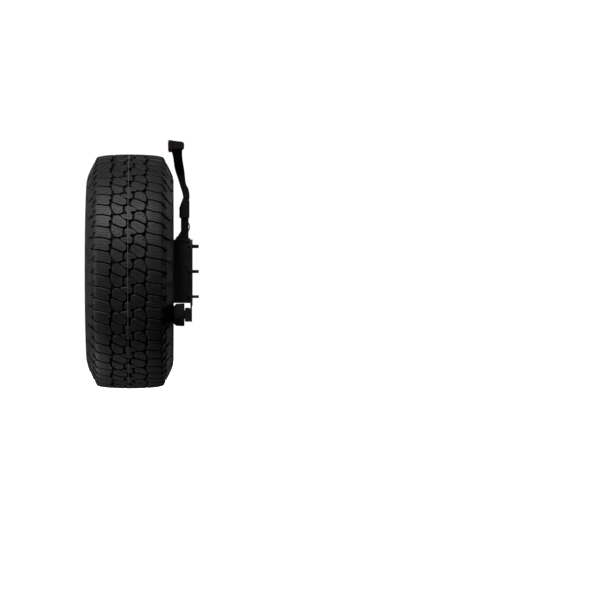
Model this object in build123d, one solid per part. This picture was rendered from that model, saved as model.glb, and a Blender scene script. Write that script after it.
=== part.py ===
from build123d import *
from math import atan2, cos, hypot, pi, radians, sin, tan
import os

# Tailgate-mounted spare tyre carrier with an adjustable brake lamp mast.
# Millimetres. +X points forward into the tailgate, +Y to the vehicle's left, +Z up.
# The origin is the centre of the tailgate bolt pattern on the tailgate's skin.

# Driving dimensions
tyre_radius = 419.0
tyre_half_width = 155.0
tread_half_width = 119.0
tyre_centre_x = -222.5
rim_half_width = 114.3
bead_radius = 218.3
flange_radius = 235.8
wheel_pad_x = -210.0
stud_circle = 127.0
stud_radius = 7.0
stud_count = 5
hub_bore_radius = 35.75
tailgate_bolt_y = 95.0
tailgate_bolt_z = 90.0
tailgate_bolt_radius = 5.0
tailgate_bolt_reach = 22.0
depth_travel = 25.0
body_half_height = 113.0
bump_y = 300.0
bump_z = -154.0
bump_radius = 39.5
bump_face_x = -66.5
lamp_half_width = 92.0

# Sheet and fit sizes
gasket_x = -2.0
plate_x = -8.0
web_x = -14.0
clearance = 0.5
running_gap = 0.05
spoke_angles = [90.0 + 72.0 * i for i in range(stud_count)]


def block(x, y, z):
    """Box between two limits on each axis."""
    size = [abs(high - low) for low, high in (x, y, z)]
    centre = [(low + high) / 2 for low, high in (x, y, z)]
    return Pos(*centre) * Box(*size)


def rod(radius, x_from, x_to, y=0.0, z=0.0):
    """Cylinder along X."""
    turn = Rot(0, 90, 0)
    return Pos((x_from + x_to) / 2, y, z) * turn * Cylinder(radius, abs(x_to - x_from))


def cross_rod(radius, y_from, y_to, x, z):
    """Cylinder along Y."""
    return Pos(x, (y_from + y_to) / 2, z) * Rot(90, 0, 0) * Cylinder(radius, abs(y_to - y_from))


def post(radius, z_from, z_to, x, y):
    """Cylinder along Z."""
    return Pos(x, y, (z_from + z_to) / 2) * Cylinder(radius, abs(z_to - z_from))


def hexagon(across_flats, height):
    """Hexagonal prism on Z with its top corners chamfered."""
    prism = extrude(RegularPolygon(across_flats / 2, 6, major_radius=False), height)
    upright = (Align.CENTER, Align.CENTER, Align.MIN)
    cap = Cone(across_flats * 0.75, across_flats * 0.5, height * 1.6, align=upright)
    return prism & Pos(0, 0, -height * 0.6) * cap


def hex_x(across_flats, x_from, x_to, y=0.0, z=0.0):
    """Hexagonal head or nut along X, its chamfered end at x_to."""
    turn = 90 if x_to > x_from else -90
    return Pos(x_from, y, z) * Rot(0, turn, 0) * hexagon(across_flats, abs(x_to - x_from))


def hex_y(across_flats, y_from, y_to, x, z):
    """Hexagonal head or nut along Y, its chamfered end at y_to."""
    turn = -90 if y_to > y_from else 90
    return Pos(x, y_from, z) * Rot(turn, 0, 0) * hexagon(across_flats, abs(y_to - y_from))


def hex_z(across_flats, z_from, z_to, x, y):
    """Hexagonal head or nut along Z, its chamfered end at z_to."""
    turn = 0 if z_to > z_from else 180
    return Pos(x, y, z_from) * Rot(turn, 0, 0) * hexagon(across_flats, abs(z_to - z_from))


def side_plate(outline, y_from, y_to):
    """Closed XZ outline given width across the vehicle."""
    face = Plane.XZ * make_face(Polyline(*outline, close=True))
    return Pos(0, y_from, 0) * extrude(face, -(y_to - y_from))


def turned(outline, centre_x=0.0):
    """Closed outline of (axial, radial) points turned about the wheel's axis."""
    face = make_face(Polyline(*[(centre_x + x, r) for x, r in outline], close=True))
    return revolve(face, Axis.X, 360)


def on_circle(radius, angle):
    """Y and Z of a point on a circle about the wheel's axis."""
    return radius * cos(radians(angle)), radius * sin(radians(angle))


def group(pieces):
    """Separate solids kept in one node."""
    return Compound(children=pieces)


nodes = {}


# ---- Fixed to the tailgate -------------------------------------------------
plate_half_y = 118.0
plate_top = 113.0
plate_bottom = -180.0
gasket_bottom = -122.0
washer_height = 2.0
m10_flats = 17.0
tailgate_rows = (-tailgate_bolt_z, 0.0, tailgate_bolt_z)
tailgate_bolt_spots = [(side * tailgate_bolt_y, z) for side in (-1, 1) for z in tailgate_rows]
crossmember_bolt_spots = [(side * 70.0, bump_z) for side in (-1, 1)]


def holed_sheet(x_rear, x_front, bottom, hole_spots, hole_radius):
    """Upright sheet with rounded corners and round holes."""
    height = plate_top - bottom
    outline = RectangleRounded(2 * plate_half_y, height, 14)
    sheet = extrude(Plane.YZ * outline, x_front - x_rear)
    sheet = Pos(x_rear, 0, (plate_top + bottom) / 2) * sheet
    for y, z in hole_spots:
        sheet -= rod(hole_radius, x_rear - 1, x_front + 1, y, z)
    return sheet


def tailgate_mounting():
    hole_radius = tailgate_bolt_radius + clearance
    nodes["tailgate_gasket"] = holed_sheet(gasket_x, 0, gasket_bottom, tailgate_bolt_spots, hole_radius)
    plate_holes = tailgate_bolt_spots + crossmember_bolt_spots
    nodes["tailgate_plate"] = holed_sheet(plate_x, gasket_x, plate_bottom, plate_holes, hole_radius)
    head_x = plate_x - washer_height
    bolts = []
    washers = []
    for y, z in tailgate_bolt_spots:
        shoulder = rod(tailgate_bolt_radius + 0.2, head_x, 0, y, z)
        thread = rod(tailgate_bolt_radius, 0, tailgate_bolt_reach, y, z)
        bolts.append(shoulder + thread + hex_x(m10_flats, head_x, head_x - 7, y, z))
        washers.append(rod(10.5, head_x, plate_x, y, z) - rod(hole_radius, head_x - 1, plate_x + 1, y, z))
    nodes["tailgate_bolts"] = group(bolts)
    nodes["tailgate_washers"] = group(washers)


channel_half_y = 70.0
channel_wall = 6.0
channel_top = 107.0
channel_rear_x = -150.0
depth_bolt_x = -110.0
depth_bolt_z = 42.0
depth_bolt_radius = 6.0
slot_height = 13.0


def fixed_channel():
    outline = [
        (plate_x, -body_half_height),
        (plate_x, channel_top),
        (-92, channel_top),
        (channel_rear_x, 78),
        (channel_rear_x, -78),
        (-92, -body_half_height),
    ]
    flange_inner = channel_half_y - channel_wall
    channel = side_plate(outline, -channel_half_y, -flange_inner)
    channel += side_plate(outline, flange_inner, channel_half_y)
    channel += block((web_x, plate_x), (-channel_half_y, channel_half_y), (-body_half_height, channel_top))
    slot_length = depth_travel + slot_height
    slot = extrude(Plane.XZ * SlotOverall(slot_length, slot_height), channel_half_y + 10, both=True)
    for z in (-depth_bolt_z, depth_bolt_z):
        channel -= Pos(depth_bolt_x - depth_travel / 2, 0, z) * slot
    nodes["fixed_channel"] = channel
    bridge = block((-92, plate_x), (-channel_half_y - 4, channel_half_y + 4), (channel_top, body_half_height))
    for x, y in mast_foot_bolt_spots:
        bridge -= post(4.5, channel_top - 1, body_half_height + 1, x, y)
    nodes["top_bridge"] = fillet(bridge.edges().filter_by(Axis.Z).sort_by(Axis.X)[:2], 8)


crossmember_rear_x = -28.0
crossmember_half_z = 24.0
crossmember_half_y = 336.0
crossmember_wall = 2.5
bump_stud_radius = 8.0


def crossmember():
    wall = crossmember_wall
    z_low = bump_z - crossmember_half_z
    z_high = bump_z + crossmember_half_z
    outer = block((crossmember_rear_x, plate_x), (-crossmember_half_y, crossmember_half_y), (z_low, z_high))
    outer = fillet(outer.edges().filter_by(Axis.Y), 5)
    inner = block(
        (crossmember_rear_x + wall, plate_x - wall),
        (-crossmember_half_y - 1, crossmember_half_y + 1),
        (z_low + wall, z_high - wall),
    )
    beam = outer - fillet(inner.edges().filter_by(Axis.Y), 2.5)
    for side in (-1, 1):
        beam -= rod(bump_stud_radius + 0.2, crossmember_rear_x - 1, plate_x + 1, side * bump_y, bump_z)
    bolts = []
    for y, z in crossmember_bolt_spots:
        beam -= rod(tailgate_bolt_radius + clearance, crossmember_rear_x - 1, plate_x + 1, y, z)
        shank = rod(tailgate_bolt_radius, crossmember_rear_x, gasket_x, y, z)
        bolts.append(shank + hex_x(m10_flats, crossmember_rear_x, crossmember_rear_x - 7, y, z))
    nodes["crossmember"] = beam
    nodes["crossmember_bolts"] = group(bolts)
    caps = []
    for side in (-1, 1):
        y_end = side * crossmember_half_y
        lid = block((crossmember_rear_x, plate_x), (y_end, y_end + side * 3), (z_low, z_high))
        lid = fillet(lid.edges().filter_by(Axis.Y), 5)
        plug = block(
            (crossmember_rear_x + wall + 0.2, plate_x - wall - 0.2),
            (y_end - side * 12, y_end),
            (z_low + wall + 0.2, z_high - wall - 0.2),
        )
        caps.append(lid + fillet(plug.edges().filter_by(Axis.Y), 2.5))
    nodes["crossmember_end_caps"] = group(caps)


jam_nut_height = 8.0
pad_front_x = -29.0
insert_front_x = -37.0
insert_rear_x = bump_face_x + 2.5
insert_radius = 14.0
bump_stud_rear_x = insert_rear_x + 0.8


def bump_stops():
    studs = []
    jam_nuts = []
    nut_rear_x = crossmember_rear_x - jam_nut_height
    for side, name in ((-1, "right"), (1, "left")):
        y = side * bump_y
        studs.append(rod(bump_stud_radius, bump_stud_rear_x, plate_x - crossmember_wall, y, bump_z))
        nut = hex_x(24, crossmember_rear_x, nut_rear_x, y, bump_z)
        jam_nuts.append(nut - rod(bump_stud_radius + 0.1, nut_rear_x - 1, crossmember_rear_x + 1, y, bump_z))
        sleeve = rod(insert_radius, insert_rear_x, insert_front_x, y, bump_z)
        sleeve += rod(2 * insert_radius, insert_front_x - 3, insert_front_x, y, bump_z)
        bore = rod(bump_stud_radius + running_gap, insert_rear_x + 0.5, 0, y, bump_z)
        nodes["bump_insert_" + name] = sleeve - bore
        outline = [
            (bump_face_x, 0),
            (bump_face_x, bump_radius - 9),
            (bump_face_x + 8, bump_radius - 1),
            (-38, bump_radius),
            (pad_front_x - 2, bump_radius),
            (pad_front_x, bump_radius - 2),
            (pad_front_x, 0),
        ]
        pad = Pos(0, y, bump_z) * turned(outline)
        pad -= sleeve
        pad -= rod(insert_radius + 3, insert_front_x, 0, y, bump_z)
        nodes["bump_pad_" + name] = pad
    nodes["bump_studs"] = group(studs)
    nodes["bump_jam_nuts"] = group(jam_nuts)


# ---- Mast ------------------------------------------------------------------
foot_top = 119.0
mast_foot_bolt_spots = [(-51.0, -25.0), (-51.0, 25.0), (-28.0, -31.0), (-28.0, 31.0)]
stem_x = (-42.0, -14.0)
stem_half_y = 20.0
stem_top = 245.0
arm_tail_x = (-36.0, -17.0)
arm_tail_half_y = 15.0
arm_tail_bottom = 140.0
arm_gap = 0.2
collar_x = (-47.5, -11.0)
collar_half_y = 27.0
collar_bottom = 192.0
collar_top = 257.0
collar_bolt_x = -44.7
wire_radius = 1.75
wire_y = -23.5
wire_route = [(-18, 188), (-18, 178), (-10.8, 167), (-10.3, 154), (-16, 142), (-18, 132.5), (-18, 123)]


def mast_bore(z_from, z_to):
    """Room for the arm's tail, with a running gap all round."""
    half_y = arm_tail_half_y + arm_gap
    return block((arm_tail_x[0] - arm_gap, arm_tail_x[1] + arm_gap), (-half_y, half_y), (z_from, z_to))


def mast_foot():
    foot = block((-62, plate_x), (-40, 40), (body_half_height, foot_top))
    foot = fillet(foot.edges().filter_by(Axis.Z).sort_by(Axis.X)[:2], 10)
    foot -= mast_bore(body_half_height - 1, foot_top + 1)
    bolts = []
    nuts = []
    for x, y in mast_foot_bolt_spots:
        foot -= post(4.5, body_half_height - 1, foot_top + 1, x, y)
        bolts.append(post(4, 96, foot_top, x, y) + hex_z(13, foot_top, foot_top + 6, x, y))
        nuts.append(hex_z(13, channel_top, channel_top - 7, x, y) - post(4.1, 95, channel_top + 1, x, y))
    rib = [(-58, foot_top), (stem_x[0], foot_top), (stem_x[0], foot_top + 26)]
    foot += side_plate(rib, -3, 3)
    nodes["mast_foot"] = foot
    nodes["mast_foot_bolts"] = group(bolts)
    nodes["mast_foot_nuts"] = group(nuts)


def mast_stem():
    stem = block(stem_x, (-stem_half_y, stem_half_y), (foot_top, stem_top))
    stem = fillet(stem.edges().filter_by(Axis.Z), 4)
    nodes["mast_stem"] = stem - mast_bore(foot_top - 1, stem_top + 1)
    outline = [
        (collar_x[0], collar_bottom),
        (collar_x[0], 228),
        (-37, collar_top),
        (-13, collar_top),
        (collar_x[1], 250),
        (collar_x[1], collar_bottom),
    ]
    collar = side_plate(outline, -collar_half_y, collar_half_y)
    collar = fillet(collar.edges().filter_by(Axis.Y), 2.5)
    collar -= block(stem_x, (-stem_half_y, stem_half_y), (collar_bottom - 1, stem_top))
    collar -= mast_bore(stem_top - 1, collar_top + 1)
    collar -= block((-60, -36), (-2, 2), (collar_bottom - 1, collar_top + 1))
    bolts = []
    nuts = []
    for z in (203.0, 224.0):
        collar -= cross_rod(2.2, -collar_half_y - 1, collar_half_y + 1, collar_bolt_x, z)
        shank = cross_rod(2.0, -collar_half_y, collar_half_y + 5, collar_bolt_x, z)
        bolts.append(shank + hex_y(7, -collar_half_y, -collar_half_y - 4, collar_bolt_x, z))
        nut = hex_y(7, collar_half_y, collar_half_y + 3.5, collar_bolt_x, z)
        nuts.append(nut - cross_rod(2.1, collar_half_y - 1, collar_half_y + 6, collar_bolt_x, z))
    nodes["mast_collar"] = collar
    nodes["collar_bolts"] = group(bolts)
    nodes["collar_nuts"] = group(nuts)


def corner_radii(points):
    """Largest tangent arcs that the runs beside each corner leave room for."""
    radii = []
    for before, corner, after in zip(points, points[1:], points[2:]):
        run_in = (corner[0] - before[0], corner[1] - before[1])
        run_out = (after[0] - corner[0], after[1] - corner[1])
        turn = abs(atan2(run_out[1], run_out[0]) - atan2(run_in[1], run_in[0]))
        turn = min(turn, 2 * pi - turn)
        radii.append(0.45 * min(hypot(*run_in), hypot(*run_out)) / tan(turn / 2))
    return radii


def harness():
    radii = corner_radii(wire_route)
    path = FilletPolyline(*[(x, wire_y, z) for x, z in wire_route], radius=radii)
    section = Plane(path @ 0, z_dir=path % 0) * Circle(wire_radius)
    wire = sweep(section, path)
    print("harness wire", round(path.length), "mm long")
    nodes["harness_wire"] = wire
    top_x, top_z = wire_route[0]
    low_x, low_z = wire_route[-1]
    upper = post(3.2, top_z, collar_bottom, top_x, wire_y)
    lower = post(3.2, foot_top, low_z, low_x, wire_y)
    nodes["harness_grommets"] = group([upper, lower])


lamp_rear_x = -88.0
lamp_front_x = -30.0
lamp_rim_x = -74.0
lamp_floor = (434.0, 439.5)
arm_widths = [
    (250.0, -34.0, -11.5),
    (263.0, -34.0, -11.0),
    (274.0, -35.0, -11.0),
    (286.0, -38.0, -12.5),
    (297.0, -41.5, -15.5),
    (310.0, -45.5, -22.0),
    (328.0, -51.0, -26.0),
    (349.0, -58.0, -28.0),
    (371.0, -64.5, -31.0),
    (392.0, -67.5, -34.5),
    (414.0, -71.0, -37.0),
    (425.0, -73.5, -37.0),
]


def lamp_floor_z(x):
    """Height of the housing's sloping underside."""
    share = (x - lamp_rim_x) / (lamp_front_x - lamp_rim_x)
    return lamp_floor[0] + share * (lamp_floor[1] - lamp_floor[0])


def mast_arm():
    rear = [(x, z) for z, x, _ in arm_widths]
    front = [(x, z) for z, _, x in arm_widths]
    top_rear = (-74.0, lamp_floor_z(-74.0))
    top_front = (-37.0, lamp_floor_z(-37.0))
    rear_edge = Spline(*rear)
    front_edge = Spline(*front)
    sides = [
        rear_edge,
        Line(rear[-1], top_rear),
        Line(top_rear, top_front),
        Line(top_front, front[-1]),
        front_edge,
        Line(front[0], rear[0]),
    ]
    profile = Plane.XZ * make_face(sides)
    blade = extrude(profile, 17, both=True)
    tail = block(arm_tail_x, (-arm_tail_half_y, arm_tail_half_y), (arm_tail_bottom, 262))
    blade -= block((-60, 0), (-40, 40), (240, collar_top + 1))
    blade += tail
    flange_outline = [(-74.0, 426.0), top_rear, top_front, (-37.0, 428.0)]
    nodes["mast_arm"] = blade + side_plate(flange_outline, -36, 36)


def lamp():
    shell_outline = [
        (lamp_rim_x, 434),
        (lamp_front_x, lamp_floor[1]),
        (lamp_front_x, 460.5),
        (lamp_rim_x, 465.5),
    ]
    rim_outline = [(-86, 430.5), (lamp_rim_x, 430.5), (lamp_rim_x, 467), (-86, 467)]
    half = lamp_half_width
    shell = side_plate(shell_outline, -half + 4, half - 4)
    shell = fillet(shell.edges().filter_by(Axis.Z, 20).sort_by(Axis.X)[-2:], 10)
    rim = side_plate(rim_outline, -half, half)
    rim = fillet(rim.edges().filter_by(Axis.X), 5)
    cavity_outline = [(-84, 437), (-33, 442), (-33, 458), (-84, 463)]
    cavity = side_plate(cavity_outline, -half + 8, half - 8)
    mouth = block((-90, -80), (-half + 5, half - 5), (434, 464))
    mouth = fillet(mouth.edges().filter_by(Axis.X), 4)
    nodes["lamp_housing"] = shell + rim - cavity - mouth
    gasket = block((-82, -80), (-half + 5, half - 5), (434, 464))
    gasket = fillet(gasket.edges().filter_by(Axis.X), 4)
    gasket -= block((-83, -79), (-half + 11, half - 11), (440, 458))
    nodes["lamp_gasket"] = gasket
    lens = block((lamp_rear_x, -82), (-half + 5.4, half - 5.4), (434.4, 463.6))
    lens = fillet(lens.edges().filter_by(Axis.X), 3.8)
    nodes["lamp_lens"] = fillet(lens.faces().sort_by(Axis.X)[0].edges(), 2)
    nodes["lamp_board"] = block((-72, -70.4), (-78, 78), (443, 457))
    leds = [block((-73.4, -72), (y - 1.8, y + 1.8), (448.2, 451.8)) for y in range(-66, 67, 12)]
    nodes["lamp_leds"] = group(leds)
    nodes["lamp_connector"] = block((-70.4, -58), (-9, 9), (445, 455))


# ---- Carriage --------------------------------------------------------------
slide_half_y = 63.5
slide_wall = 5.5
m12_flats = 19.0
slide_half_z = 66.0
plate_front_x = -200.0
wheel_plate_radius = 88.0
camera_tube_radius = 30.0


def carriage():
    inner_y = slide_half_y - slide_wall
    outline = [
        (-60, -slide_half_z),
        (-60, slide_half_z),
        (-150, slide_half_z),
        (plate_front_x, 52),
        (plate_front_x, -52),
        (-150, -slide_half_z),
    ]
    channel = side_plate(outline, -slide_half_y, -inner_y) + side_plate(outline, inner_y, slide_half_y)
    channel += block((plate_front_x, -194), (-slide_half_y, slide_half_y), (-52, 52))
    channel -= rod(camera_tube_radius + clearance, -210, -180)
    bolts = []
    washers = []
    nuts = []
    for side in (-1, 1):
        for z in (-depth_bolt_z, depth_bolt_z):
            x = depth_bolt_x
            channel -= cross_rod(depth_bolt_radius + 0.3, side * 50, side * 66, x, z)
            washer_in = side * (channel_half_y + 0.1)
            washer_out = side * (channel_half_y + 2.6)
            shank = cross_rod(depth_bolt_radius, side * 44, washer_out, x, z)
            head_end = washer_out + side * 7.5
            bolts.append(shank + hex_y(m12_flats, washer_out, head_end, x, z))
            washer = cross_rod(12, washer_in, washer_out, x, z)
            washers.append(washer - cross_rod(depth_bolt_radius + 0.3, side * 60, side * 80, x, z))
            nut = hex_y(m12_flats, side * inner_y, side * (inner_y - 10), x, z)
            nuts.append(nut - cross_rod(depth_bolt_radius + 0.1, side * 40, side * 66, x, z))
    nodes["depth_bolts"] = group(bolts)
    nodes["depth_washers"] = group(washers)
    nodes["depth_nuts"] = group(nuts)
    plate = rod(wheel_plate_radius, wheel_pad_x, plate_front_x)
    plate -= rod(camera_tube_radius + clearance, -220, -190)
    studs = []
    for angle in spoke_angles:
        y, z = on_circle(stud_circle / 2, angle)
        plate -= rod(stud_radius + 0.1, -220, -190, y, z)
        channel -= rod(11.5, -200.5, -190, y, z)
        stud = rod(stud_radius, wheel_pad_x - 44, plate_front_x, y, z)
        tip = stud.faces().sort_by(Axis.X)[0].edges()
        studs.append(chamfer(tip, 1.5) + rod(10, plate_front_x, plate_front_x + 5, y, z))
    nodes["slide_channel"] = channel
    nodes["wheel_plate"] = plate
    nodes["wheel_studs"] = group(studs)


camera_rear_x = -292.0
camera_split_x = -262.0
camera_cable_x = -206.0
tube_bore_radius = 26.0


def camera():
    tube = rod(camera_tube_radius, camera_split_x, -190) + rod(40, -194, -190)
    tube -= rod(tube_bore_radius, camera_split_x - 1, -189)
    screws = []
    for angle in (0, 90, 180, 270):
        y, z = on_circle(35.5, angle + 45)
        screws.append(rod(4, -190, -187, y, z))
    nodes["camera_tube"] = tube
    nodes["camera_tube_screws"] = group(screws)
    housing = rod(33, camera_rear_x, camera_split_x)
    housing = fillet(housing.faces().sort_by(Axis.X)[0].edges(), 4)
    housing -= rod(29, camera_rear_x + 4, camera_split_x + 1)
    housing -= rod(15, camera_rear_x - 1, camera_split_x)
    nodes["camera_housing"] = housing
    nodes["camera_bezel"] = rod(15, camera_rear_x - 2, camera_rear_x + 4) - rod(10, -300, -280)
    nodes["camera_module"] = rod(14, camera_rear_x + 4, camera_split_x - 4)
    lens = rod(10, camera_rear_x - 1, camera_rear_x + 4)
    nodes["camera_lens"] = fillet(lens.faces().sort_by(Axis.X)[0].edges(), 3.5)
    nodes["camera_cable"] = rod(2.5, camera_split_x - 4, camera_cable_x)
    socket = rod(9, camera_cable_x, -196) + rod(tube_bore_radius - 0.2, -196, -190)
    nodes["camera_grommet"] = socket - block((-193, -189), (-6, 6), (-4, 4))


# ---- Wheel -----------------------------------------------------------------
window_outer_radius = 195.0
valley_radius = 95.0
panel_height = 4.0
lug_seat_x = -228.0
lug_pocket_radius = 20.0
seat_angle = 30.0


def wheel_x(outboard):
    """X of a point given by its distance outboard of the tyre's centre plane."""
    return tyre_centre_x - outboard


def turned_outboard(outline):
    return turned([(-x, r) for x, r in outline], tyre_centre_x)


def spoke_half_width(radius):
    """Half the width of a spoke, which narrows evenly outwards."""
    return 43.0 - 0.1 * (radius - valley_radius)


def window_sketch():
    """One opening between two spokes, centred on +Y."""
    half_sector = 180.0 / stud_count
    flank = []
    for radius in (1.5 * window_outer_radius, valley_radius + 8):
        half_width = spoke_half_width(radius)
        angle = radians(half_sector) - atan2(half_width, radius)
        reach = hypot(radius, half_width)
        flank.append((reach * cos(angle), reach * sin(angle)))
    upper_outer, upper_inner = flank
    outline = Polyline(
        upper_outer,
        upper_inner,
        (upper_inner[0], -upper_inner[1]),
        (upper_outer[0], -upper_outer[1]),
        close=True,
    )
    window = make_face(outline) & Circle(window_outer_radius + 0.5)
    return fillet(window.vertices(), 12)


def panel_sketch():
    """Raised panel down the middle of one spoke, centred on +Y."""
    outline = Polyline((76, -19), (192, -26), (192, 26), (76, 19), close=True)
    return fillet(make_face(outline).vertices(), 6)


def wheel_barrel():
    flange = [(127, 231), (123, flange_radius), (117, flange_radius), (rim_half_width, 232)]
    outboard_seat = [(rim_half_width, bead_radius), (92, bead_radius - 0.5), (84, 214)]
    well = [(68, 198), (6, 198), (-12, 212)]
    inboard_seat = [(-92, bead_radius - 0.5), (-rim_half_width, bead_radius)]
    inner_flange = [(-x, r) for x, r in reversed(flange)]
    bore = [(-122, 224), (-115, 208), (-15, 206), (2, 191.5), (70, 191.5), (70, window_outer_radius)]
    lip = [(97.8, window_outer_radius), (104, 207), (112, 209), (121, 222)]
    barrel = turned_outboard(flange + outboard_seat + well + inboard_seat + inner_flange + bore + lip)
    barrel -= valve_axis() * Cylinder(5.3, 20)
    barrel -= valve_axis() * Pos(0, 0, 23) * Cylinder(8.4, 30)
    nodes["wheel_barrel"] = barrel


def wheel_disc():
    rim_radius = window_outer_radius
    face_front = [(58, hub_bore_radius), (60, 60), (61, 95), (72, 140), (90, 180), (97.8, rim_radius)]
    face_back = [(73, rim_radius), (71.5, 190), (44, 150), (14, 105), (-12.5, 88), (-12.5, hub_bore_radius)]
    disc = turned_outboard(face_front + face_back)
    panels = turned_outboard(
        [(x + panel_height, r) for x, r in face_front[2:]] + [(80, rim_radius), (50, 140), (40, 95)]
    )
    window = window_sketch()
    panel = panel_sketch()
    panel_cut = None
    for angle in spoke_angles:
        opening = extrude(Plane.YZ * Rot(0, 0, angle + 36) * window, 200, both=True)
        disc -= Pos(tyre_centre_x, 0, 0) * opening
        strip = extrude(Plane.YZ * Rot(0, 0, angle) * panel, 200, both=True)
        strip = Pos(tyre_centre_x, 0, 0) * strip
        panel_cut = strip if panel_cut is None else panel_cut + strip
    disc += panels & panel_cut
    cone_height = 5.0
    cone_top = stud_radius + 0.8 + cone_height * tan(radians(seat_angle))
    seat = Cone(stud_radius + 0.8, cone_top, cone_height)
    for angle in spoke_angles:
        y, z = on_circle(stud_circle / 2, angle)
        disc -= rod(lug_pocket_radius, lug_seat_x, -400, y, z)
        disc -= rod(stud_radius + 0.8, -400, -200, y, z)
        disc -= Pos(lug_seat_x + cone_height / 2, y, z) * Rot(0, -90, 0) * seat
    nodes["wheel_disc"] = disc


def valve_axis():
    """Valve's own frame: its Z leaves the rim outboard and inward between two spokes."""
    angle = spoke_angles[0] + 36
    y, z = on_circle(202, angle)
    out_y, out_z = on_circle(-1, angle)
    return Plane((wheel_x(77), y, z), z_dir=(-1, out_y, out_z)).location


def valve():
    stem = Pos(0, 0, 6) * Cylinder(5.2, 26) + Pos(0, 0, 10.3) * Cylinder(7.6, 4)
    stem += Pos(0, 0, 24) * Cylinder(3.6, 12)
    bulb = Pos(0, 0, -6.2) * Cylinder(7.6, 5)
    nodes["valve_stem"] = valve_axis() * (stem + bulb)
    cap = Pos(0, 0, 27.5) * Cylinder(5, 13) - Pos(0, 0, 25) * Cylinder(3.7, 11)
    cap = fillet(cap.faces().sort_by(Axis.Z)[-1].edges(), 1.5)
    nodes["valve_cap"] = valve_axis() * cap


def balance_weights():
    section = Polyline((15, 202.5), (15, 205.5), (35, 205.9), (35, 202.5), close=True)
    face = Pos(tyre_centre_x, 0, 0) * make_face(section)
    weight = revolve(face, Axis.X, 5.5)
    nodes["balance_weights"] = group([Rot(20 + 6 * i, 0, 0) * weight for i in range(6)])


def lug_nuts():
    gap = 0.3
    base_radius = stud_radius + 0.8
    for i, angle in enumerate(spoke_angles):
        y, z = on_circle(stud_circle / 2, angle)
        body_x = lug_seat_x - gap
        cone_length = 4.5
        cone = Cone(base_radius, base_radius + cone_length * tan(radians(seat_angle)), cone_length)
        nut = Pos(body_x + cone_length / 2, y, z) * Rot(0, -90, 0) * cone
        nut += rod(12.2, body_x - 4, body_x, y, z)
        nut += hex_x(21, body_x - 3.5, body_x - 30, y, z)
        nut += rod(9.5, body_x - 34, body_x - 28, y, z)
        nut -= rod(stud_radius + running_gap, body_x - 29, -200, y, z)
        nodes["lug_nut_" + str(i + 1)] = nut


def tyre():
    crown = [(0, tyre_radius), (60, 418.0), (96, 414.6), (112, 410.5)]
    shoulder = [(tread_half_width, 406), (128, 400), (140, 380), (150, 356)]
    wall = [(tyre_half_width, 330), (154, 305), (148, 272), (135, 249), (127, 241)]
    half = crown + shoulder + wall + [(117, 238.5), (114.2, 236), (114.2, 218.5)]
    cavity = [(96, 218.5), (100, 232), (122, 262), (137, 305), (137, 335), (124, 372), (96, 393), (0, 397)]
    right = half + cavity
    left = [(-x, r) for x, r in reversed(right) if x > 0]
    nodes["tyre"] = turned(right + left, tyre_centre_x)


tailgate_mounting()
fixed_channel()
crossmember()
bump_stops()
mast_foot()
mast_stem()
harness()
mast_arm()
lamp()
carriage()
camera()
wheel_barrel()
wheel_disc()
valve()
balance_weights()
lug_nuts()
tyre()

os.makedirs("parts", exist_ok=True)
for name, shape in nodes.items():
    export_step(shape, "parts/" + name + ".step")
print(len(nodes), "nodes")
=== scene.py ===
import bpy
import bmesh
import math
from mathutils import Matrix, Vector


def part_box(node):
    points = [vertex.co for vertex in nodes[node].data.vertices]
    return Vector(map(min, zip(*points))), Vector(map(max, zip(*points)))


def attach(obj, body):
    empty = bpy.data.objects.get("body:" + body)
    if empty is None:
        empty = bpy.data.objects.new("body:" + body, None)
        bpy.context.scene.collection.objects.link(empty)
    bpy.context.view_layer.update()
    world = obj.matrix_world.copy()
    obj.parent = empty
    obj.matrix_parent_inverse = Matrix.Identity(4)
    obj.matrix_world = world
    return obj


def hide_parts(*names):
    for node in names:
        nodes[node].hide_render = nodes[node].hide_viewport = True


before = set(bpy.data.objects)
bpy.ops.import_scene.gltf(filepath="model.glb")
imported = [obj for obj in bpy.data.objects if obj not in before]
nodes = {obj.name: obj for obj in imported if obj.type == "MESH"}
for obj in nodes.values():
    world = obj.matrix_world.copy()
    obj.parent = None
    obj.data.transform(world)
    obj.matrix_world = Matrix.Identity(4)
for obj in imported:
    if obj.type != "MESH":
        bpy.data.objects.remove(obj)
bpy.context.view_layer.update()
mm = 0.001

tyreLow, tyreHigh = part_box("tyre")
wheelX = (tyreLow.x + tyreHigh.x) / 2       # the tyre's own middle plane
wheelZ = (tyreLow.z + tyreHigh.z) / 2


def deselect():
    if bpy.context.object and bpy.context.object.mode != "OBJECT":
        bpy.ops.object.mode_set(mode="OBJECT")
    bpy.ops.object.select_all(action="DESELECT")


def pick(piece):
    deselect()
    piece.select_set(True)
    bpy.context.view_layer.objects.active = piece


def edit(piece):
    pick(piece)
    bpy.ops.object.mode_set(mode="EDIT")
    bpy.ops.mesh.select_all(action="SELECT")


def done():
    bpy.ops.object.mode_set(mode="OBJECT")


def applyModifier(piece, kind, **values):
    pick(piece)
    bpy.ops.object.modifier_add(type=kind)
    modifier = piece.modifiers[-1]
    for key, value in values.items():
        setattr(modifier, key, value)
    bpy.ops.object.modifier_apply(modifier=modifier.name)


def smooth(piece, angle):
    pick(piece)
    bpy.ops.object.shade_smooth_by_angle(angle=math.radians(angle))


def facesOut(piece):
    edit(piece)
    bpy.ops.mesh.remove_doubles(threshold=1e-6)
    bpy.ops.mesh.normals_make_consistent(inside=False)
    done()


def joined(pieces, name):
    deselect()
    for piece in pieces:
        piece.select_set(True)
    bpy.context.view_layer.objects.active = pieces[0]
    if len(pieces) > 1:
        bpy.ops.object.join()
    result = bpy.context.object
    result.name = name
    result.data.name = name
    return result


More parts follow.
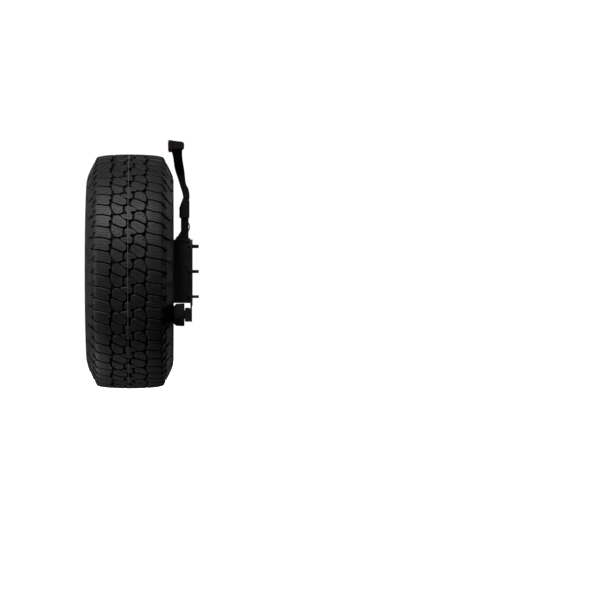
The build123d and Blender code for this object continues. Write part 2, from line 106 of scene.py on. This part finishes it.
def copied(piece, move):
    pick(piece)
    bpy.ops.object.duplicate(linked=False)
    twin = bpy.context.object
    twin.data.transform(move)
    return twin


def ringOf(piece, count, name, middleZ=0.0):
    centre = Matrix.Translation((0, 0, middleZ))
    around = []
    for i in range(1, count):
        turn = Matrix.Rotation(2 * math.pi * i / count, 4, "X")
        around.append(copied(piece, centre @ turn @ centre.inverted()))
    return joined([piece] + around, name)


def slab(name, outline, low, high, bevel=0.0, segments=2):
    # a filled outline in XY, raised from low to high
    bpy.ops.mesh.primitive_circle_add(vertices=len(outline), radius=1, fill_type="NGON")
    piece = bpy.context.object
    piece.name = name
    for corner, (x, y) in zip(piece.data.vertices, outline):
        corner.co = (x, y, low)
    edit(piece)
    bpy.ops.mesh.extrude_region_move(TRANSFORM_OT_translate={"value": (0, 0, high - low)})
    bpy.ops.mesh.select_all(action="SELECT")
    bpy.ops.mesh.normals_make_consistent(inside=False)
    done()
    if bevel:
        applyModifier(piece, "BEVEL", width=bevel, segments=segments, limit_method="ANGLE")
    return piece


def cutAway(piece, cutters):
    tool = joined(cutters, "cutter")
    applyModifier(piece, "BOOLEAN", object=tool, operation="DIFFERENCE", solver="EXACT")
    bpy.data.objects.remove(tool)


def lathe(name, outline, steps, closed=True, centre=(0.0, 0.0, 0.0)):
    # outline of (x, radius) spun about an X axis through centre
    bpy.ops.mesh.primitive_circle_add(vertices=len(outline), radius=1, fill_type="NOTHING")
    piece = bpy.context.object
    piece.name = name
    for corner, (x, r) in zip(piece.data.vertices, outline):
        corner.co = (x + centre[0], centre[1], r + centre[2])
    edit(piece)
    if not closed:
        cage = bmesh.from_edit_mesh(piece.data)
        cage.verts.ensure_lookup_table()
        first, last = cage.verts[0], cage.verts[len(outline) - 1]
        loose = [edge for edge in first.link_edges if last in edge.verts]
        bmesh.ops.delete(cage, geom=loose, context="EDGES")
        bmesh.update_edit_mesh(piece.data)
        bpy.ops.mesh.select_all(action="SELECT")
    bpy.ops.mesh.spin(steps=steps, angle=2 * math.pi, center=centre, axis=(1, 0, 0))
    bpy.ops.mesh.select_all(action="SELECT")
    bpy.ops.mesh.remove_doubles(threshold=1e-6)
    bpy.ops.mesh.normals_make_consistent(inside=False)
    done()
    return piece


def blankMaterial(name):
    material = bpy.data.materials.new(name)
    material.use_nodes = True
    shader = material.node_tree.nodes["Principled BSDF"]
    return material.node_tree, shader


def addNode(tree, kind, **values):
    node = tree.nodes.new(kind)
    for key, value in values.items():
        if key in node.inputs:
            node.inputs[key].default_value = value
        else:
            setattr(node, key, value)
    return node


def mottled(tree, coordinates, scale, low, high, detail=4.0):
    # a noise between two colours
    noise = addNode(tree, "ShaderNodeTexNoise", Scale=scale, Detail=detail)
    ramp = addNode(tree, "ShaderNodeValToRGB")
    ramp.color_ramp.elements[0].position = 0.35
    ramp.color_ramp.elements[1].position = 0.68
    ramp.color_ramp.elements[0].color = (*low, 1)
    ramp.color_ramp.elements[1].color = (*high, 1)
    tree.links.new(coordinates, noise.inputs["Vector"])
    tree.links.new(noise.outputs["Fac"], ramp.inputs["Fac"])
    return ramp.outputs["Color"], noise.outputs["Fac"]


def grainBump(tree, shader, coordinates, scale, strength, distance, detail=3.0):
    noise = addNode(tree, "ShaderNodeTexNoise", Scale=scale, Detail=detail)
    bump = addNode(tree, "ShaderNodeBump", Strength=strength, Distance=distance)
    tree.links.new(coordinates, noise.inputs["Vector"])
    tree.links.new(noise.outputs["Fac"], bump.inputs["Height"])
    tree.links.new(bump.outputs["Normal"], shader.inputs["Normal"])


def roughnessFrom(tree, shader, coordinates, scale, low, high):
    noise = addNode(tree, "ShaderNodeTexNoise", Scale=scale, Detail=3.0)
    spread = addNode(tree, "ShaderNodeMapRange")
    spread.inputs["To Min"].default_value = low
    spread.inputs["To Max"].default_value = high
    tree.links.new(coordinates, noise.inputs["Vector"])
    tree.links.new(noise.outputs["Fac"], spread.inputs["Value"])
    tree.links.new(spread.outputs["Result"], shader.inputs["Roughness"])


def finish(name, low, high, roughness, patch=14.0, grain=900.0, bump=0.25, depth=0.0003,
           metallic=0.0, coat=0.0, upFacingTint=None, specular=0.5):
    tree, shader = blankMaterial(name)
    spot = addNode(tree, "ShaderNodeTexCoord").outputs["Object"]
    colour, patches = mottled(tree, spot, patch, low, high)
    if upFacingTint:
        # a mottled lighter tint on faces that point up
        normal = addNode(tree, "ShaderNodeNewGeometry").outputs["Normal"]
        split = addNode(tree, "ShaderNodeSeparateXYZ")
        facing = addNode(tree, "ShaderNodeMapRange")
        facing.inputs["From Min"].default_value = 0.1
        facing.inputs["To Max"].default_value = upFacingTint["amount"]
        blend = addNode(tree, "ShaderNodeMix", data_type="RGBA")
        times = addNode(tree, "ShaderNodeMath", operation="MULTIPLY")
        tree.links.new(normal, split.inputs[0])
        tree.links.new(split.outputs["Z"], facing.inputs["Value"])
        tree.links.new(facing.outputs["Result"], times.inputs[0])
        tree.links.new(patches, times.inputs[1])
        tree.links.new(times.outputs[0], blend.inputs["Factor"])
        tree.links.new(colour, blend.inputs[6])                  # the colour socket A
        blend.inputs[7].default_value = (*upFacingTint["colour"], 1)     # the colour socket B
        colour = blend.outputs[2]
    tree.links.new(colour, shader.inputs["Base Color"])
    shader.inputs["Metallic"].default_value = metallic
    shader.inputs["Coat Weight"].default_value = coat
    shader.inputs["Coat Roughness"].default_value = 0.25
    shader.inputs["Specular IOR Level"].default_value = specular
    roughnessFrom(tree, shader, spot, patch * 6, roughness[0], roughness[1])
    if bump:
        grainBump(tree, shader, spot, grain, bump, depth)


def grey(value, warm=0.0):
    return (value * (1 + warm), value, value * (1 - warm))


# low and high are the two shades of the mottling
finishes = {
    "treadRubber": {"low": grey(0.016), "high": grey(0.026), "roughness": (0.46, 0.6), "patch": 30,
                    "grain": 1500, "bump": 0.35, "depth": 0.0004,
                    "upFacingTint": {"colour": grey(0.05, 0.04), "amount": 0.5}},
    # the groove rubber is darker than the tread rubber: painted shade in the grooves and on the block
    # walls, with a rougher, less shiny surface as well
    "grooveRubberPaintedShade": {"low": grey(0.009), "high": grey(0.014), "roughness": (0.75, 0.9), "patch": 25,
                     "bump": 0.2, "specular": 0.15},
    "sidewallRubber": {"low": grey(0.016), "high": grey(0.026), "roughness": (0.5, 0.68), "patch": 18,
                       "grain": 1200, "bump": 0.15, "depth": 0.0002},
    "flashRubber": {"low": grey(0.14), "high": grey(0.24), "roughness": (0.5, 0.7), "patch": 60,
                    "bump": 0.0},
    "powderCoat": {"low": grey(0.027), "high": grey(0.038), "roughness": (0.42, 0.56), "patch": 9,
                   "grain": 1300, "bump": 0.3, "depth": 0.00025, "specular": 0.3,
                   "upFacingTint": {"colour": grey(0.12, 0.08), "amount": 0.5}},
    # darker than the powder coat: painted shade for the mast arm, collar and stem, standing in for the
    # shadow the vehicle casts on them; their black finish itself is real
    "castBlackPaintedShade": {"low": grey(0.008), "high": grey(0.012), "roughness": (0.45, 0.62), "patch": 22,
                  "grain": 700, "bump": 0.4, "depth": 0.0004, "specular": 0.22},
    "gasketRubber": {"low": grey(0.02), "high": grey(0.03), "roughness": (0.6, 0.75), "patch": 30,
                     "grain": 900, "bump": 0.2},
    "nutChrome": {"low": grey(0.11, 0.01), "high": grey(0.16, 0.01), "roughness": (0.16, 0.28),
                  "patch": 80, "grain": 2500, "bump": 0.08, "depth": 0.0001, "metallic": 1.0},
    "wheelPaint": {"low": grey(0.024), "high": grey(0.032), "roughness": (0.28, 0.38), "patch": 12,
                   "grain": 1800, "bump": 0.08, "depth": 0.0001, "coat": 0.3, "metallic": 0.4},
    "blackZinc": {"low": grey(0.03, 0.03), "high": grey(0.055, 0.05), "roughness": (0.28, 0.45),
                  "patch": 120, "grain": 2500, "bump": 0.15, "depth": 0.0001, "metallic": 0.85},
    "dullZinc": {"low": (0.34, 0.34, 0.31), "high": (0.5, 0.49, 0.45), "roughness": (0.3, 0.48),
                 "patch": 90, "grain": 2500, "bump": 0.15, "depth": 0.0001, "metallic": 1.0},
    "grainedPlastic": {"low": grey(0.009), "high": grey(0.014), "roughness": (0.42, 0.55), "patch": 16,
                       "grain": 2200, "bump": 0.35, "depth": 0.0002, "specular": 0.28},
    # darker than plain black rubber: painted shade, standing in for the shadow the vehicle body casts on
    # the bump pads; the grommets, lamp gasket and valve stem share it
    "mouldedRubberPaintedShade": {"low": grey(0.006), "high": grey(0.010), "roughness": (0.75, 0.9), "patch": 40,
                      "grain": 1100, "bump": 0.25, "depth": 0.0003, "specular": 0.15},
    "wireJacket": {"low": grey(0.02), "high": grey(0.028), "roughness": (0.4, 0.5), "patch": 200,
                   "grain": 3000, "bump": 0.1},
    "boardGreen": {"low": (0.01, 0.09, 0.03), "high": (0.015, 0.13, 0.05), "roughness": (0.3, 0.4),
                   "patch": 300, "bump": 0.05},
    "ledYellow": {"low": (0.75, 0.66, 0.3), "high": (0.85, 0.78, 0.45), "roughness": (0.15, 0.25),
                  "patch": 500, "bump": 0.0},
}
for finishName, values in finishes.items():
    finish(finishName, **values)


redLens = {
    "low": (0.3, 0.004, 0.006),
    "high": (0.42, 0.012, 0.012),
    "patch": 35,
    "roughness": 0.06,
    "coat": 0.4,
    "coatRoughness": 0.03,
    "clear": 0.35,
    "ior": 1.49,
    "ribs": 110.0,
    "ribBump": 0.25,
    "ribDepth": 0.0005,
}


def lensMaterial():
    tree, shader = blankMaterial("redLens")
    spot = addNode(tree, "ShaderNodeTexCoord").outputs["Object"]
    colour = mottled(tree, spot, redLens["patch"], redLens["low"], redLens["high"])[0]
    tree.links.new(colour, shader.inputs["Base Color"])
    shader.inputs["Roughness"].default_value = redLens["roughness"]
    shader.inputs["Coat Weight"].default_value = redLens["coat"]
    shader.inputs["Coat Roughness"].default_value = redLens["coatRoughness"]
    shader.inputs["Transmission Weight"].default_value = redLens["clear"]
    shader.inputs["IOR"].default_value = redLens["ior"]
    wave = addNode(tree, "ShaderNodeTexWave", Scale=redLens["ribs"], bands_direction="Y")
    bump = addNode(tree, "ShaderNodeBump", Strength=redLens["ribBump"], Distance=redLens["ribDepth"])
    tree.links.new(spot, wave.inputs["Vector"])
    tree.links.new(wave.outputs["Fac"], bump.inputs["Height"])
    tree.links.new(bump.outputs["Normal"], shader.inputs["Normal"])


cameraGlass = {
    "low": (0.008, 0.006, 0.02),
    "high": (0.02, 0.01, 0.035),
    "patch": 120,
    "roughness": 0.04,
    "coat": 1.0,
    "coatRoughness": 0.02,
}


def glassMaterial():
    tree, shader = blankMaterial("cameraGlass")
    spot = addNode(tree, "ShaderNodeTexCoord").outputs["Object"]
    colour = mottled(tree, spot, cameraGlass["patch"], cameraGlass["low"], cameraGlass["high"])[0]
    tree.links.new(colour, shader.inputs["Base Color"])
    shader.inputs["Roughness"].default_value = cameraGlass["roughness"]
    shader.inputs["Coat Weight"].default_value = cameraGlass["coat"]
    shader.inputs["Coat Roughness"].default_value = cameraGlass["coatRoughness"]


lensMaterial()
glassMaterial()
print("finishes ready")


def dress(piece, *materialNames):
    piece.data.materials.clear()
    for materialName in materialNames:
        piece.data.materials.append(bpy.data.materials[materialName])


# Tyre lengths are in millimetres: s runs across the tread and down the sidewall from the
# middle line, u runs round the tyre, h stands out from the surface.

tyreShape = {
    "outer": [(0, 419), (40, 418.3), (80, 416), (100, 413.4), (111, 411), (117, 408.8), (120, 406),
              (122.4, 401), (127.5, 391), (134.5, 378), (141.5, 364), (148, 350), (152.4, 337),
              (154.2, 322), (153.4, 305), (149.6, 286), (143.8, 268), (138.4, 255), (135.6, 249),
              (130, 243.5), (119.5, 239.5)],
    "depth": [(0, 12), (112, 12), (126, 10), (140, 8.5), (165, 7.5), (184, 6), (197, 3.5), (206, 0)],
    "repeats": 30,
    "phase": -10.8,      # degrees below the axle's level on the side towards the camera
}
treadRadius = tyreShape["outer"][0][1]
pitch = 2 * math.pi * treadRadius / tyreShape["repeats"]


def densify(points, each=6):
    # a smooth line through the points
    path = []
    last = len(points) - 1
    for i in range(last):
        a, b, c, d = (Vector(points[min(max(k, 0), last)]) for k in (i - 1, i, i + 1, i + 2))
        for step in range(each):
            t = step / each
            path.append(0.5 * ((2 * b) + (c - a) * t + (2 * a - 5 * b + 4 * c - d) * t * t
                               + (3 * b - a - 3 * c + d) * t * t * t))
    path.append(Vector(points[-1]))
    return path


outerLine = densify(tyreShape["outer"])
outerRun = [0.0]
for before, after in zip(outerLine, outerLine[1:]):
    outerRun.append(outerRun[-1] + (after - before).length)


def alongOuter(s):
    # place and outward normal on the tyre's outer line
    reach = min(abs(s), outerRun[-1] - 1e-6)
    i = next(k for k in range(len(outerRun) - 1) if outerRun[k + 1] >= reach)
    share = (reach - outerRun[i]) / (outerRun[i + 1] - outerRun[i])
    spot = outerLine[i].lerp(outerLine[i + 1], share)
    ahead = (outerLine[min(i + 2, len(outerLine) - 1)] - outerLine[max(i - 1, 0)]).normalized()
    side = -1 if s < 0 else 1
    return side * spot.x, spot.y, side * -ahead.y, ahead.x


def grooveDepth(s):
    table = tyreShape["depth"]
    reach = abs(s)
    for (s0, d0), (s1, d1) in zip(table, table[1:]):
        if reach <= s1:
            return d0 + (d1 - d0) * (reach - s0) / (s1 - s0)
    return 0.0


def ontoTyre(piece):
    # flat (s, u, h) coordinates wrapped onto the tyre
    for corner in piece.data.vertices:
        s, u, h = corner.co
        x, r, nx, nr = alongOuter(s)
        angle = math.radians(tyreShape["phase"]) + u / treadRadius
        radius = (r + nr * h) * mm
        across = wheelX + (x + nx * h) * mm
        corner.co = (across, -radius * math.cos(angle), wheelZ - radius * math.sin(angle))


cuts = {
    "sipeWidth": 1.4,
    "sipeDepth": 5.0,
    "sipeWave": 1.3,
    "sipeStep": 5,           # length of one leg of the zigzag
    "pinRadius": 2.4,
    "pinDepth": 8.0,
    "clear": 2.0,            # how far a cutter stands out of the block
    "stepDepth": 4.2,
    "stepInner": -113,
    "stepOuter": -150,
    "edge": 1.2,             # chamfer of the blocks
}


def sipe(points):
    # a thin zigzag cutter along a line
    start, end = (Vector(point) for point in points)
    along = end - start
    count = max(4, int(along.length / cuts["sipeStep"]))
    across = Vector((-along.y, along.x)).normalized()
    front, back = [], []
    for i in range(count + 1):
        spot = start + along * i / count + across * cuts["sipeWave"] * (1 if i % 2 else -1)
        front.append(tuple(spot + across * cuts["sipeWidth"] / 2))
        back.append(tuple(spot - across * cuts["sipeWidth"] / 2))
    return slab("sipe", front + back[::-1], -cuts["sipeDepth"], cuts["clear"])


def pinHole(x, y):
    height = cuts["pinDepth"] + 2 * cuts["clear"]
    bpy.ops.mesh.primitive_cylinder_add(vertices=12, radius=cuts["pinRadius"], depth=height,
                                        location=(x, y, cuts["clear"] - cuts["pinDepth"] / 2))
    hole = bpy.context.object
    hole.data.transform(Matrix.Translation(hole.location))
    hole.location = (0, 0, 0)
    return hole


centreHalf = [(-14.4, 21), (-10, 17.6), (-4, 15), (0, 15), (7, 18.8), (16, 19.8), (21, 23.6),
              (24.4, 28), (28.2, 31.6), (27.6, 35.6), (22, 38), (8.5, 38.4), (6, 41), (7, 46),
              (10.4, 49), (14.4, 55), (11.6, 62)]
shoulderBends = (-84, -104, -112, -115.5, -118, -120.5, -123, -128, -133)
# low is the block's root, bends are the extra lines where it follows the tyre's curve,
# and a paired block has a twin turned half round on the other side of the middle
treadBlocks = {
    "slantBlock": {
        "outline": [(-54.8, -26), (-50.5, -32.6), (-38, -34.6), (-31.5, -31.6), (-26, -26.6),
                    (-20.6, -20.8), (-13, -15.2), (-8, -10.4), (-7.6, -2), (-9.2, 7), (-14, 11),
                    (-24, 11.6), (-31, 8.4), (-38, 5.8), (-45.5, 1.4), (-54.6, -3), (-57, -13)],
        "sipes": [((-52, -21), (-24, -11)), ((-48, -9), (-14, 2))],
        "low": -14.0, "bends": (), "paired": True,
    },
    "hookBlock": {
        "outline": [(-58.6, 2.4), (-46.5, 7), (-38.5, 11.6), (-29, 15.4), (-20.5, 17), (-20, 24),
                    (-22, 31), (-18.4, 35.4), (-20.6, 40.6), (-25, 46.4), (-38, 49), (-46.6, 47.6),
                    (-52.6, 41), (-55.6, 34), (-60, 25), (-60.6, 13)],
        "sipes": [((-56, 12), (-25, 22)), ((-50, 40), (-27, 36))],
        "holes": [(-51.4, 28.6)],
        "low": -14.0, "bends": (), "paired": True,
    },
    "centreBlock": {
        "outline": centreHalf + [(-x, pitch - y) for x, y in centreHalf],
        "sipes": [((-9, 29), (19, 31)), ((-19, 57), (9, 59))],
        "low": -14.0, "bends": (), "paired": False,
    },
    "straightShoulder": {
        "outline": [(-137, -41.3), (-119, -38.4), (-87, -35.3), (-73, -30.9), (-64.8, -28.5),
                    (-61.4, -22), (-62, -15.5), (-68.6, -13.2), (-70.4, -9), (-67.6, -5.6),
                    (-66.6, 2), (-69, 9.4), (-83, 9), (-94, 5.6), (-107, 3), (-119, 1), (-137, -1.4)],
        "sipes": [((-108, -27.5), (-68, -20.6)), ((-108, -15), (-76, -9.6)), ((-106, -5), (-74, -0.5))],
        "step": (-18, 8),
        "low": -13.8, "bends": shoulderBends, "paired": True,
    },
    "hookedShoulder": {
        "outline": [(-137, 3.2), (-119, 5.7), (-107, 7.8), (-94, 10.4), (-83, 14.1), (-71, 14.6),
                    (-66.8, 19), (-64.6, 27), (-61.6, 33.6), (-60.2, 41), (-60.6, 50), (-64, 54.6),
                    (-73, 52.4), (-87, 48), (-119, 44.9), (-137, 42)],
        "sipes": [((-108, 17), (-72, 23)), ((-108, 27.5), (-70, 33)), ((-107, 37), (-70, 43))],
        "step": (25, 52),
        "low": -13.8, "bends": shoulderBends, "paired": True,
    },
    "sideLug": {
        "outline": [(-141, -40.5), (-141, -6), (-151, -6.5), (-151, 0.5), (-141, 1), (-141, 37),
                    (-172, 35.5), (-177, 28), (-180, 12), (-189, 3), (-199, -5), (-202, -15),
                    (-198, -24), (-187, -28), (-182, -40)],
        "sipes": [],
        "low": -9.0, "bends": (-146, -152, -159, -166, -173, -180, -188, -195), "paired": True,
    },
}


def makeBlock(name, values):
    piece = slab(name, values["outline"], values["low"], 0.0, bevel=cuts["edge"], segments=1)
    cutters = [sipe(line) for line in values["sipes"]]
    cutters += [pinHole(x, y) for x, y in values.get("holes", [])]
    if "step" in values:
        first, last = values["step"]        # lowered part of the outer edge
        inner, outer = cuts["stepInner"], cuts["stepOuter"]
        corners = [(outer, first), (inner, first + 2), (inner + 1, last), (outer, last)]
        cutters.append(slab("step", corners, -cuts["stepDepth"], 2 * cuts["clear"]))
    if cutters:
        cutAway(piece, cutters)
    for s in values["bends"]:
        edit(piece)
        bpy.ops.mesh.bisect(plane_co=(s, 0, 0), plane_no=(1, 0, 0))
        done()
    return piece


blockWall = {
    "outward": 0.35,         # a wall faces outwards less than this
    "sideways": 0.97,        # and isn't turned fully to the tyre's side
    "corners": 12,           # tops have more corners than walls
}


def dullWalls(ring):
    # the walls of the blocks take the groove rubber: its darker colour is painted shade, and its surface
    # is duller than the worn tops
    for face in ring.data.polygons:
        out = Vector((0, face.center.y, face.center.z - wheelZ)).normalized()
        if abs(face.normal.dot(out)) > blockWall["outward"]:
            continue
        if abs(face.normal.x) < blockWall["sideways"] and len(face.vertices) < blockWall["corners"]:
            face.material_index = 1


def makeTread():
    halfAround = Matrix.Rotation(math.pi, 4, "Z")
    rings = []
    for name, values in treadBlocks.items():
        piece = makeBlock(name, values)
        if values["paired"]:
            piece = joined([piece, copied(piece, halfAround)], name)
        ontoTyre(piece)
        ring = ringOf(piece, tyreShape["repeats"], name + "s", wheelZ)
        facesOut(ring)
        smooth(ring, angle=24)
        dress(ring, "treadRubber", "grooveRubberPaintedShade")
        dullWalls(ring)
        rings.append(ring)
    return rings


carcassShape = {
    "rings": {"rimGuard": (286, 2.4, 4.0), "lower": (268, 0.7, 1.0), "upper": (206, 0.8, 1.2)},
    "bead": [(116.5, 238.0), (114.6, 234.0), (114.6, 219.0), (98, 219.0)],
    "flat": 112,             # coarse steps up to here, fine ones beyond
    "coarse": 4.0,
    "fine": 1.5,
    "around": 240,
    "grooveRadius": 384,
}


def makeCarcass():
    # groove floor, plain sidewalls with fine moulded rings, and the beads
    line = []
    s = 0.0
    while s < outerRun[-1]:
        x, r, nx, nr = alongOuter(s)
        lift = -grooveDepth(s)
        for centre, height, width in carcassShape["rings"].values():
            lift += height * math.exp(-((s - centre) / width) ** 2)
        line.append((x + nx * lift, r + nr * lift))
        s += carcassShape["coarse"] if s < carcassShape["flat"] else carcassShape["fine"]
    half = line + carcassShape["bead"]
    outline = [(-x, r) for x, r in half[::-1]] + half[1:]
    carcass = lathe("tyreCarcass", [(x * mm, r * mm) for x, r in outline], carcassShape["around"],
                    closed=False, centre=(wheelX, 0, wheelZ))
    smooth(carcass, angle=50)
    dress(carcass, "sidewallRubber", "grooveRubberPaintedShade")
    # faces beyond the groove radius, the floor between the blocks, take the groove rubber: painted shade
    # in the grooves
    for face in carcass.data.polygons:
        if math.hypot(face.center.y, face.center.z - wheelZ) > carcassShape["grooveRadius"] * mm:
            face.material_index = 1
    return carcass


mouldLine = {
    "beads": 420,
    "size": (2.0, 3.6, 1.4),
    "edge": 0.5,
    "side": -3,              # beside the middle plane
    "lift": 0.1,
    "ridge": [(-4.4, 407.5), (-4.0, 410.5), (-2.0, 410.5), (-1.6, 407.5)],
}


def makeMouldLine():
    # the fine beaded line that the mould leaves round the middle of the tread
    bpy.ops.mesh.primitive_cube_add(size=1, location=(0, 0, 0))
    bead = bpy.context.object
    bead.data.transform(Matrix.Diagonal((*mouldLine["size"], 1)))
    applyModifier(bead, "BEVEL", width=mouldLine["edge"], segments=1, limit_method="ANGLE")
    bead.data.transform(Matrix.Translation((mouldLine["side"], 0, mouldLine["lift"])))
    ontoTyre(bead)
    ring = ringOf(bead, mouldLine["beads"], "mouldLine", wheelZ)
    dress(ring, "flashRubber")
    ridge = lathe("mouldRidge", [(x * mm, r * mm) for x, r in mouldLine["ridge"]],
                  carcassShape["around"], centre=(wheelX, 0, wheelZ))
    dress(ridge, "treadRubber")
    return [ring, ridge]


def makeTyre():
    pieces = makeTread()
    pieces.append(makeCarcass())
    pieces += makeMouldLine()
    for piece in pieces:
        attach(piece, "wheel")
        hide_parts("tyre")
    print("tyre made:", len(pieces), "pieces")


makeTyre()


cadFinishes = {
    "powderCoat": ["tailgate_plate", "fixed_channel", "top_bridge", "crossmember", "mast_foot",
                   "slide_channel", "wheel_plate"],
    # the mast parts take the darker black: painted shade
    "castBlackPaintedShade": ["mast_arm", "mast_collar", "mast_stem"],
    "gasketRubber": ["tailgate_gasket"],
    "blackZinc": ["tailgate_bolts", "tailgate_washers", "crossmember_bolts", "mast_foot_bolts",
                  "mast_foot_nuts", "collar_bolts", "collar_nuts", "depth_bolts", "depth_washers",
                  "depth_nuts", "bump_jam_nuts", "camera_tube_screws"],
    "dullZinc": ["bump_studs", "wheel_studs", "bump_insert_left", "bump_insert_right", "balance_weights"],
    # the bump pads and small rubber parts take the darker moulded rubber: painted shade
    "mouldedRubberPaintedShade": ["bump_pad_left", "bump_pad_right", "harness_grommets",
                      "camera_grommet", "lamp_gasket", "valve_stem"],
    "grainedPlastic": ["crossmember_end_caps", "lamp_housing", "lamp_connector", "camera_housing",
                       "camera_bezel", "camera_module", "valve_cap", "camera_tube"],
    "wireJacket": ["harness_wire", "camera_cable"],
    "wheelPaint": ["wheel_barrel", "wheel_disc"],
    "nutChrome": ["lug_nut_" + str(i) for i in range(1, 6)],
    "boardGreen": ["lamp_board"],
    "ledYellow": ["lamp_leds"],
    "redLens": ["lamp_lens"],
    "cameraGlass": ["camera_lens"],
}
for materialName, members in cadFinishes.items():
    for member in members:
        dress(nodes[member], materialName)
print("CAD pieces dressed")


studio = {
    "floorDrop": 1.01,       # floor below the wheel's axis
    "floorRadius": 40,
    "floorShade": 0.92,
    "floorShine": 0.62,      # keeps the floor as pale as the backdrop
    "floorRoughness": 0.9,
    "floorSpecular": 0.1,
    "backdrop": 1.05,
    "ambient": 0.02,
    "suns": {
        "overhead": {"from": (-0.22, -0.56, 0.83), "strength": 1.95, "spread": 20, "gloss": True},
        "leftFill": {"from": (-0.95, -0.28, 0.12), "strength": 1.1, "spread": 35, "gloss": True},
        "floorGlow": {"from": (-0.50, 0.28, -0.82), "strength": 0.8, "spread": 35, "gloss": True},
        "backLeft": {"from": (-0.45, 0.88, 0.15), "strength": 6.5, "spread": 30, "gloss": False},
        "backRight": {"from": (0.52, 0.85, 0.10), "strength": 14.0, "spread": 30, "gloss": False},
    },
}


def makeStage():
    bpy.ops.mesh.primitive_circle_add(vertices=96, radius=studio["floorRadius"], fill_type="NGON")
    floor = bpy.context.object
    floor.name = "studioFloor"
    floor.data.transform(Matrix.Translation((0, 0, wheelZ - studio["floorDrop"])))
    shader = blankMaterial("paleFloor")[1]
    shader.inputs["Base Color"].default_value = (*grey(studio["floorShade"]), 1)
    shader.inputs["Emission Color"].default_value = (1, 1, 1, 1)
    shader.inputs["Emission Strength"].default_value = studio["floorShine"]
    shader.inputs["Roughness"].default_value = studio["floorRoughness"]
    shader.inputs["Specular IOR Level"].default_value = studio["floorSpecular"]
    dress(floor, "paleFloor")
    floor.visible_diffuse = False
    floor.visible_glossy = False
    floor.visible_shadow = False
    world = bpy.data.worlds.new("softWhite")
    world.use_nodes = True
    tree = world.node_tree
    back = tree.nodes["Background"]
    seen = addNode(tree, "ShaderNodeLightPath").outputs["Is Camera Ray"]
    level = addNode(tree, "ShaderNodeMapRange")
    level.inputs["To Min"].default_value = studio["ambient"]
    level.inputs["To Max"].default_value = studio["backdrop"]
    tree.links.new(seen, level.inputs["Value"])
    tree.links.new(level.outputs["Result"], back.inputs["Strength"])
    back.inputs["Color"].default_value = (1, 1, 1, 1)
    bpy.context.scene.world = world
    for name, values in studio["suns"].items():
        sun = bpy.data.lights.new(name, "SUN")
        sun.energy = values["strength"]
        sun.angle = math.radians(values["spread"])
        lamp = bpy.data.objects.new(name, sun)
        lamp.rotation_euler = Vector(values["from"]).to_track_quat("Z", "Y").to_euler()
        lamp.visible_glossy = values["gloss"]        # the back lights only lift the shade
        bpy.context.scene.collection.objects.link(lamp)


shot = {
    "sensor": 36,
    "distance": 12.6,
    "across": 2.1498,                # width seen at the object, in metres
    "fromTyre": 0.196,               # camera ahead of the tyre's middle plane
    "drop": 0.102,                   # camera below the wheel's axis
    "turn": 1.87,                    # degrees that the camera looks to the right
}


def makeCamera():
    data = bpy.data.cameras.new("shot")
    data.sensor_width = shot["sensor"]
    data.lens = shot["sensor"] * shot["distance"] / shot["across"]
    data.clip_end = 200
    camera = bpy.data.objects.new("shot", data)
    camera.location = (wheelX + shot["fromTyre"], -shot["distance"], wheelZ - shot["drop"])
    camera.rotation_euler = (math.radians(90), 0, -math.radians(shot["turn"]))
    bpy.context.scene.collection.objects.link(camera)
    bpy.context.scene.camera = camera


makeStage()
makeCamera()
bpy.context.scene.view_settings.view_transform = "Standard"
print("stage and camera set")
